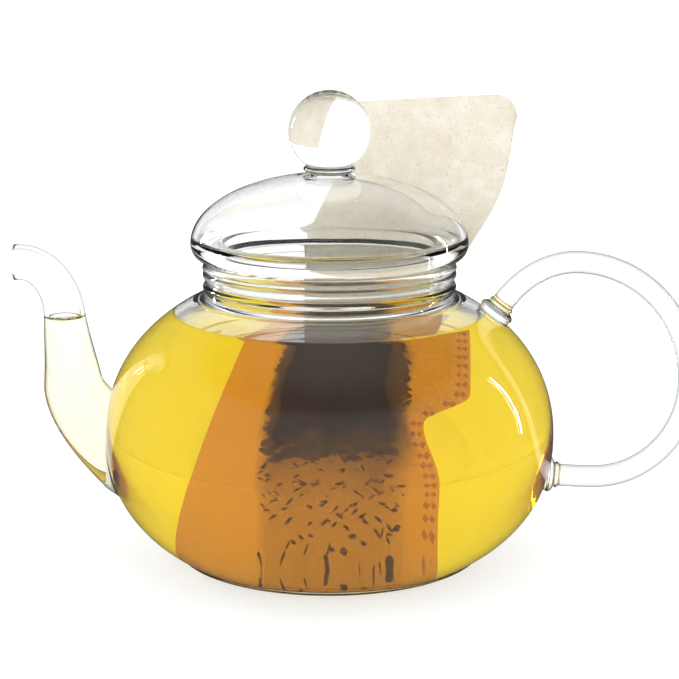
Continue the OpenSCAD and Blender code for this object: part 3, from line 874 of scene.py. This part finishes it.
def make_spout():
    """A tube of glass whose wall begins in the bulb's skin and ends in a melted lip."""
    outer = spout_rings(0.0, 0.5 * MM)
    inner = spout_rings(SPOUT_WALL, 0.5 * MM)
    lip_r = 0.9 * MM
    mid = SPOUT_END_R - SPOUT_WALL / 2
    lip = []
    for i in range(1, 12):
        b = math.radians(mixed(90, -90, i / 12))
        r, x = mid + lip_r * math.sin(b), SPOUT_END_X - lip_r * math.cos(b)
        lip.append(
            [Vector((x, r * math.sin(a), SPOUT_END_Z + r * math.cos(a))) for a in ANGLES]
        )
    rings = outer + lip + inner[::-1]
    points = [p for ring in rings for p in ring]
    faces = grid_faces(len(rings), SPOUT_SIDES, wrap_rows=True, wrap_cols=True)
    spout = new_mesh_object("spout_glass", points, faces)
    set_material(spout, spout_glass)
    return tidy_shell(spout)


# --- The handle ---

ROD_R = 3.6 * MM
SEAL_R = 5.4 * MM
SEAL_H = 4.4 * MM


def quarter(x0, z0, x1, z1, steps):
    """Quarter of an ellipse from a level place to an upright one."""
    turns = [math.pi / 2 * i / steps for i in range(steps + 1)]
    return [(x0 + (x1 - x0) * math.sin(a), z1 + (z0 - z1) * math.cos(a)) for a in turns]


def part_turned(level, end, angle, steps):
    """Part of an ellipse from where it is level to where it has turned by an angle."""
    whole = math.radians(angle)
    points = []
    for i in range(steps + 1):
        a = whole * i / steps
        x = mixed(level[0], end[0], math.sin(a) / math.sin(whole))
        points.append((x, mixed(level[1], end[1], (1 - math.cos(a)) / (1 - math.cos(whole)))))
    return points


def handle_line():
    upper_r = NECK_ROOT_R + 8.2 * MM
    upper = (upper_r, shoulder_height(upper_r))
    low_z = BELLY_Z - 13.8 * MM
    lower = (bulb_radius(low_z), low_z)
    turn, dip = math.radians(42), math.radians(8)
    upper_end = (
        upper[0] + (SEAL_H + 0.6 * MM) * math.cos(turn),
        upper[1] + (SEAL_H + 0.6 * MM) * math.sin(turn),
    )
    lower_end = (lower[0] + SEAL_H * math.cos(dip), lower[1] - SEAL_H * math.sin(dip))
    top = (upper[0] + 27 * MM, upper_end[1] + 13.3 * MM)
    side = (HANDLE_OUT - ROD_R, (top[1] + low_z) / 2 - 4.4 * MM)
    bottom = (BULB_R + 14 * MM, lower_end[1] - 0.5 * MM)
    line = part_turned(top, upper_end, 48, 24)[::-1]
    line += quarter(*top, *side, 24)[1:]
    line += quarter(*bottom, *side, 24)[::-1][1:]
    line += part_turned(bottom, lower_end, 20, 24)[1:]
    return line


def extended(line, steps, length):
    """Adds a straight run, step by step, before the first point of a line."""
    first, second = np.array(line[0]), np.array(line[1])
    back = unit(first - second)
    return [tuple(first + back * length * (steps - i) / steps) for i in range(steps)] + line


def seal_radius(d):
    """Radius of the glass at the distance d before the rod's end: a ringed, flaring seal."""
    if d < 0:
        return ROD_R
    bead = 0.75 * MM * math.exp(-(((d - 0.8 * MM) / (0.55 * MM)) ** 2))
    flare = (SEAL_R - ROD_R) * eased((d - 1.2 * MM) / (1.4 * MM))
    second = 0.45 * MM * math.exp(-(((d - 3.4 * MM) / (0.6 * MM)) ** 2))
    return ROD_R + bead + flare + second


def make_handle():
    """A solid rod, bent to an ear, with a ringed seal at each end melted on to the bulb."""
    seal_steps, sunk = 26, 7.2 * MM
    line = extended(handle_line(), seal_steps, sunk)
    line = extended(line[::-1], seal_steps, sunk)
    path = upright_line("handle_glass", line)
    thick = path.data.attributes.new("thick", "FLOAT", "POINT")
    last = len(line) - 1
    for i in range(len(line)):
        steps_in = min(i, last - i)
        thick.data[i].value = seal_radius(sunk * (1 - steps_in / seal_steps))
    run_tree(path, ROD, sides=48, material=rod_glass)
    return tidy_shell(path)


# --- The tea ---


def meniscus(edge_r, reach, steps=10):
    """The liquid's skin from the glass inwards: it hangs a little way up the wall."""
    points = []
    for i in range(steps + 1):
        t = i / steps
        rise = CREEP * (1 - math.sin(math.pi / 2 * t)) ** 1.6
        points.append((edge_r - reach * t, TEA_TOP + rise))
    return points


def make_tea():
    """The tea in the bulb fills it to its skin."""
    top = TEA_TOP + CREEP
    wall = bulb_line(FLOOR_T - WETTED, SHOULDER_Z, WALL - WETTED, 44)
    side = [p for p in wall if p[1] < top - 0.2 * MM]
    edge = bulb_radius(top, WALL - WETTED)
    skin = meniscus(edge, 3.2 * MM)
    centre = [(30 * MM, TEA_TOP), (15 * MM, TEA_TOP), (0.0, TEA_TOP)]
    return turned("tea_in_bulb", [(0.0, FLOOR_T - WETTED)] + side + skin + centre, tea_liquid)


def on_bulb(p):
    """The point of the bulb's glass that lies straight outwards from a point."""
    grow = bulb_radius(p.z, ROOT_SUNK) / math.hypot(p.x, p.y)
    return Vector((p.x * grow, p.y * grow, p.z))


def make_spout_tea():
    """The tea in the spout begins in the bulb's wall and stands as high as in the bulb."""
    rings = spout_rings(SPOUT_WALL - WETTED, ROOT_SUNK, TEA_TOP + 0.9 * MM)
    root, edge = rings[0], rings[-1]
    middle = sum(root, Vector()) / SPOUT_SIDES
    centre = sum(edge, Vector()) / SPOUT_SIDES
    root_steps = 8
    for i in range(1, root_steps):
        rings.insert(0, [on_bulb(p.lerp(middle, i / root_steps)) for p in root])
    for share, drop in ((0.93, 0.55), (0.84, 0.8), (0.7, 0.9), (0.4, 0.9)):
        rings.append([centre.lerp(p, share) - Vector((0, 0, drop * MM)) for p in edge])
    points = [p for ring in rings for p in ring]
    faces = grid_faces(len(rings), SPOUT_SIDES, wrap_cols=True)
    lowest = centre - Vector((0, 0, 0.9 * MM))
    for first, tip in ((0, on_bulb(middle)), (len(points) - SPOUT_SIDES, lowest)):
        for k in range(SPOUT_SIDES):
            faces.append((first + k, first + (k + 1) % SPOUT_SIDES, len(points)))
        points.append(tip)
    tea = new_mesh_object("tea_in_spout", points, faces)
    set_material(tea, pale_tea)
    return tidy_shell(tea)


# --- The paper filter ---

FILTER_W = 64 * MM
CRIMP_W = 4.5 * MM
PAPER_T = 0.4 * MM
POUCH_T = 17 * MM
POUCH_X = 4.5 * MM
POUCH_LEAN = 0.2
FLAP_LEAN = 0.17
FLAP_TURN = 58
FLAP_UNTWIST = 22
FLAP_OUT = 5 * MM
FLAT_AT_FOOT = 0.06
FLAP_TILT = 0.09
IN_R = NECK_IN - 0.5 * MM
OVER_R = RIM_MID - IN_R
OVER_Z = RIM_TOP + 0.5 * MM
OUT_R = LID_R + 1.2 * MM
TURN_R = 2.2 * MM
BEND_Z = OVER_Z - OVER_R
FLAP_H = FLAP_TOP - LID_SEAT
FLAP_TOP_Z = FLAP_TOP - 1.5 * MM


def lane(z):
    return POUCH_X + POUCH_LEAN * (z - POUCH_TOP)


def flap_rows():
    """The flap's middle line: distance from the axis, height, flatness inside the pot and
    flatness behind the lid, where a sheet with no flatness follows the round neck."""
    rows = []
    for i in range(25):
        t = i / 24
        z = mixed(POUCH_TOP + 0.05 * MM, SHOULDER_Z - 1.5 * MM, t)
        rows.append((IN_R, z, 1 - eased(t), 0.0))
    for i in range(12):
        rows.append((IN_R, mixed(SHOULDER_Z, BEND_Z, i / 12), 0.0, 0.0))
    for r, z in arc(RIM_MID, BEND_Z, OVER_R, OVER_R, 180, 90, 12):
        rows.append((r, z, 0.0, 0.0))
    for i, (r, z) in enumerate(arc(OUT_R - TURN_R, OVER_Z + TURN_R, TURN_R, TURN_R, -90, 0, 12)):
        rows.append((r, z, 0.0, FLAT_AT_FOOT * i / 12))
    for i in range(1, 91):
        t = i / 90
        rows.append(
            (
                OUT_R + FLAP_OUT * t,
                mixed(OVER_Z + TURN_R, FLAP_TOP_Z, t),
                0.0,
                mixed(FLAT_AT_FOOT, 1, 1 - (1 - t) ** 6),
            )
        )
    return rows


def flap_point(row, u):
    """Middle of the flap at a row of its line and the distance u across it."""
    r, z, flat_in, flat_out = row
    over = max(0.0, z - LID_SEAT)
    shift = FLAP_LEAN * over
    a = math.radians(FLAP_TURN) - (u + shift) / (RIM_MID + 1 * MM)
    way = math.radians(FLAP_TURN + FLAP_UNTWIST * flat_out * (1 - over / FLAP_H))
    across = np.array([math.sin(way), -math.cos(way)])
    round_at = r * np.array([math.cos(a), math.sin(a)])
    inner_at = np.array([lane(z) + u, POUCH_Y])
    turn = math.radians(FLAP_TURN)
    outer_at = r * np.array([math.cos(turn), math.sin(turn)]) + (u + shift) * across
    at = round_at * (1 - flat_in - flat_out) + inner_at * flat_in + outer_at * flat_out
    return Vector((at[0], at[1], z + FLAP_TILT * u * flat_out))


def paper_wave(point, height):
    """A small crumple of the sheet, in metres."""
    soft = noise.noise(point * 45.0) * 0.6 + noise.noise(point * 110.0) * 0.25
    return soft * height


def make_flap():
    """The filter's long back sheet, from the pouch's mouth over the rim and up behind the lid."""
    rows = flap_rows()
    cols = 56
    corner = 9 * MM
    corner_rows = 24
    facing = Vector((math.cos(math.radians(70)), math.sin(math.radians(70)), 0))
    points = []
    for i, row in enumerate(rows):
        loose = eased((row[1] - LID_SEAT - 8 * MM) / (12 * MM))
        in_corner = max(0.0, (i - (len(rows) - 1 - corner_rows)) / corner_rows)
        for j in range(cols + 1):
            u = FILTER_W * (j / cols - 0.5)
            p = flap_point(row, u)
            p += facing * paper_wave(p + Vector((3.1, 0, 0)), 1.6 * MM) * loose
            beyond = min(max(0.0, u - (FILTER_W / 2 - corner)), corner)
            p.z -= (corner - math.sqrt(corner**2 - beyond**2)) * in_corner * 0.8
            points.append(p)
    flap = new_mesh_object("filter_flap_paper", points, grid_faces(len(rows), cols + 1))
    set_material(flap, dry_paper)
    shade_smooth(flap)
    wall = flap.modifiers.new("wall", "SOLIDIFY")
    wall.thickness = PAPER_T * 0.7
    wall.offset = 0.0
    return flap


def pouch_half(s):
    """Half the pouch's thickness at the share s of its height."""
    mouth = 1.2 * MM
    bulge = math.sin(math.pi * min(1, s + 0.02) ** 0.72)
    return mouth + (POUCH_T / 2 - mouth) * max(0.0, bulge) ** 0.9


WAIST_Z = 38.5 * MM


def right_edge(z):
    """The pouch's right edge is folded in half way down."""
    above = eased((z - WAIST_Z) / (6 * MM))
    wide = 4.7 * MM - 0.057 * (z - WAIST_Z)
    notch = 6.2 * MM * math.exp(-(((z - WAIST_Z) / (8 * MM)) ** 2))
    return lane(z) + FILTER_W / 2 + mixed(-notch, wide, above)


def left_edge(z):
    return lane(z) - FILTER_W / 2 + 0.17 * z + 0.5 * MM * math.sin(z * 140)


def pouch_point(s, v, side):
    """Point of the pouch's front (side -1) or back (side 1) layer: s up it, v across it."""
    z = mixed(POUCH_LOW, POUCH_TOP, s)
    left, right = left_edge(z), right_edge(z)
    x = mixed(left, right, v)
    w = right - left
    in_crimp = min(v, 1 - v) * w < CRIMP_W
    belly = 0.0
    if not in_crimp:
        c = (v * w - CRIMP_W) / (w - 2 * CRIMP_W) * 2 - 1
        belly = max(0.0, 1 - abs(c) ** 2.2) ** 0.62
    at = Vector((x, POUCH_Y, z))
    crumple = paper_wave(Vector((x, 7.7 * side, z)), 2.4 * MM) * belly
    depth = belly * pouch_half(s) * (0.9 if side < 0 else 0.85)
    at.y += side * (0.12 * MM + depth) + crumple * 0.6
    return at


def make_pouch():
    """Two layers of paper that meet in crimped edges, open at the top."""
    rows, cols = 90, 80
    crimp_rows = 5
    points, faces = [], []
    for side in (-1, 1):
        base = len(points)
        for i in range(rows + crimp_rows + 1):
            for j in range(cols + 1):
                if i < crimp_rows:
                    p = pouch_point(0.0, j / cols, side)
                    p.z -= 3.4 * MM * (crimp_rows - i) / crimp_rows
                    p.y = POUCH_Y + side * 0.12 * MM
                else:
                    s = (i - crimp_rows) / rows
                    p = pouch_point(s, j / cols, side)
                    if s < 0.06:
                        p.y = mixed(POUCH_Y + side * 0.12 * MM, p.y, eased(s / 0.06))
                points.append(p)
        faces += grid_faces(rows + crimp_rows + 1, cols + 1, first=base, flipped=side < 0)
    pouch = new_mesh_object("filter_pouch_paper", points, faces)
    set_material(pouch, wet_paper)
    shade_smooth(pouch)
    return pouch


def make_bead():
    """One pressed bead of a crimp: a low lozenge."""
    ring = [(0.95, 0.0), (0.0, 0.75), (-0.95, 0.0), (0.0, -0.75)]
    points = [Vector((x, y, 0)) * MM for x, y in ring]
    points += [Vector((x * 0.45, y * 0.45, 0.35)) * MM for x, y in ring]
    faces = [(k, (k + 1) % 4, 4 + (k + 1) % 4, 4 + k) for k in range(4)]
    return new_mesh_object("bead", points, faces + [(4, 5, 6, 7)])


def make_crimp_beads():
    """Two rows of pressed beads run down the right crimped edge."""
    rows = 34
    points = []
    for i in range(rows + 1):
        z = mixed(POUCH_LOW - 2 * MM, POUCH_TOP, i / rows)
        for step in (0.5, 2.1, 3.7):
            points.append(Vector((right_edge(z) - step * MM, POUCH_Y - 0.2 * MM, z)))
    beads = new_mesh_object("crimp_beads", points, grid_faces(rows + 1, 3))
    bead = make_bead()
    run_tree(
        beads, PATTERN, shape=bead, least_size=0.75, most_size=1.0, wobble=0.15, seed=3,
        material=pressed_paper,
    )
    bpy.data.objects.remove(bead)
    return beads


def leaf_left(z):
    return LEAF_LEFT + LEAF_SLANT * max(0.0, z / LEAF_RISE - LEAF_BEND) ** LEAF_CURVE


def leaf_right(z):
    return min(right_edge(z) - CRIMP_W - 4 * MM, 19 * MM)


def make_scrap():
    """A curled scrap of a wet leaf, pointed at both ends."""
    points = []
    for i in range(7):
        t = i / 6 - 0.5
        half = 0.5 * max(0.0, math.cos(t * math.pi)) ** 0.7
        for j in range(3):
            w = (j - 1) * half * 0.55
            lift = math.sin(t * 3.0) * 0.2 + abs(w) * 0.9
            points.append(Vector((t * 2, w, lift)) * MM)
    return new_mesh_object("scrap", points, grid_faces(7, 3))


def make_leaves(name, low_z, high_z, density, most, seed):
    """Scraps of leaf, scattered over four sheets inside the pouch."""
    heap_points, heap_faces = [], []
    rows, cols = 24, 28
    for depth in (-0.6, -0.25, 0.25, 0.6):
        base = len(heap_points)
        for i in range(rows + 1):
            z = mixed(low_z, high_z, i / rows)
            s = (z - POUCH_LOW) / (POUCH_TOP - POUCH_LOW)
            left, right = left_edge(z), right_edge(z)
            for j in range(cols + 1):
                x = mixed(leaf_left(z), leaf_right(z), j / cols)
                p = pouch_point(s, (x - left) / (right - left), math.copysign(1, depth))
                p.y = mixed(POUCH_Y, p.y, abs(depth))
                heap_points.append(p)
        heap_faces += grid_faces(rows + 1, cols + 1, first=base)
    heap = new_mesh_object(name, heap_points, heap_faces)
    scrap = make_scrap()
    run_tree(
        heap, SCATTER, shape=scrap, density=density, least_size=0.7, most_size=most,
        wobble=0.7, seed=seed, material=leaves_brown,
    )
    bpy.data.objects.remove(scrap)
    return heap


# --- Assembly ---

pot = make_pot()
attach(pot, "pot")
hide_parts("pot_floor", "pot_belly", "pot_shoulder", "neck_collar", "rim_bead")

spout = make_spout()
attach(spout, "pot")
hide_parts("spout", "spout_lip")

handle = make_handle()
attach(handle, "pot")
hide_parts("handle", "handle_upper_seal", "handle_lower_seal")

lid = make_lid()
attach(lid, "lid")
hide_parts("lid_dome", "lid_edge", "lid_skirt", "knob_stem", "knob_ball")

for tea in (make_tea(), make_spout_tea()):
    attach(tea, "pot")

flap = make_flap()
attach(flap, "pot")
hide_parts("filter_flap")

pouch = make_pouch()
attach(pouch, "pot")
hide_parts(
    "filter_pouch", "filter_left_crimp", "filter_right_crimp", "filter_bottom_crimp"
)

beads = make_crimp_beads()
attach(beads, "pot")
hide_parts("filter_left_crimp", "filter_right_crimp")

for leaves in (
    make_leaves("tea_leaves_swollen", 32 * MM, 74 * MM, 420000.0, 2.2, 5),
    make_leaves("tea_leaves_sunken", 9 * MM, 32 * MM, 45000.0, 1.2, 9),
):
    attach(leaves, "pot")
    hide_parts("tea_leaves")


# --- Stage, light and camera ---

# How bright the room looks in what the glass mirrors; its lamps are mirrored at full strength
DIM_ROOM = 0.10


def mirrored(wires):
    """1 for light that comes straight from a mirroring skin, 0 for what is seen through glass."""
    path = wires.node("ShaderNodeLightPath").outputs
    return wires.math("GREATER_THAN", path["Is Glossy Ray"], path["Is Transmission Ray"])


def make_floor():
    floor = new_mesh_object(
        "floor", [(-9, -9, 0), (9, -9, 0), (9, 9, 0), (-9, 9, 0)], [(0, 1, 2, 3)]
    )
    material, wires, out = start_material("floor_white")
    shader = wires.node(
        "ShaderNodeBsdfPrincipled",
        {
            "Base Color": (0.55, 0.55, 0.55, 1),
            "Roughness": 0.9,
            "Specular IOR Level": 0.1,
            "Emission Color": (1, 1, 1, 1),
            "Emission Strength": 0.64,
        },
    )
    dim = wires.node("ShaderNodeEmission", {"Strength": DIM_ROOM})
    shown = wires.blend(mirrored(wires), shader.outputs[0], dim.outputs[0])
    wires.set(out.inputs["Surface"], shown)
    set_material(floor, material)


def make_world():
    """A bright studio all round, with a dim ring between its walls and the light above."""
    world = bpy.data.worlds.new("studio")
    bpy.context.scene.world = world
    world.use_nodes = True
    world.node_tree.nodes.clear()
    wires = Wires(world.node_tree)
    way = wires.node("ShaderNodeTexCoord").outputs["Generated"]
    height = wires.node("ShaderNodeSeparateXYZ", {0: way}).outputs["Z"]
    light = ramp(wires, height, [(0.0, 1.0), (0.62, 0.95), (0.74, 0.5), (0.86, 0.6), (1.0, 1.0)])
    background = wires.node("ShaderNodeBackground", {"Strength": 1.3, "Color": light})
    seen = wires.node("ShaderNodeBackground", {"Strength": 1.0, "Color": (1, 1, 1, 1)})
    path = wires.node("ShaderNodeLightPath").outputs
    room = wires.blend(path["Is Camera Ray"], background.outputs[0], seen.outputs[0])
    dim = wires.node("ShaderNodeBackground", {"Strength": DIM_ROOM, "Color": light})
    room = wires.blend(mirrored(wires), room, dim.outputs[0])
    wires.node("ShaderNodeOutputWorld", {"Surface": room})


def add_light(name, place, aim, size, power):
    data = bpy.data.lights.new(name, "AREA")
    data.shape = "RECTANGLE"
    data.size, data.size_y = size
    data.energy = power
    light = bpy.data.objects.new(name, data)
    light.location = place
    light.rotation_euler = (Vector(aim) - Vector(place)).to_track_quat("-Z", "Y").to_euler()
    bpy.context.scene.collection.objects.link(light)


CAMERA_AT = Vector((3.18, -647.3, 204.95)) * MM
CAMERA_DOWN = 11.633
CAMERA_LENS = 108.58
CAMERA_SENSOR = 36.0


def make_camera():
    """The camera stands in front of the pot and looks down at it a little."""
    data = bpy.data.cameras.new("camera")
    data.sensor_width = CAMERA_SENSOR
    data.lens = CAMERA_LENS
    data.clip_start, data.clip_end = 0.01, 50.0
    camera = bpy.data.objects.new("camera", data)
    camera.location = CAMERA_AT
    camera.rotation_euler = (math.radians(90 - CAMERA_DOWN), 0.0, 0.0)
    bpy.context.scene.collection.objects.link(camera)
    bpy.context.scene.camera = camera


make_floor()
make_world()
make_camera()
add_light("left_strip", (-0.90, 0.75, 0.28), (0, 0, 0.05), (0.05, 0.30), 3.6)
add_light("right_strip", (1.10, 0.40, 0.20), (0, 0, 0.05), (0.025, 0.9), 2.6)
bpy.context.scene.view_settings.view_transform = "Standard"
bpy.context.scene.cycles.transmission_bounces = 24
bpy.context.scene.cycles.max_bounces = 28
bpy.context.scene.cycles.transparent_max_bounces = 16
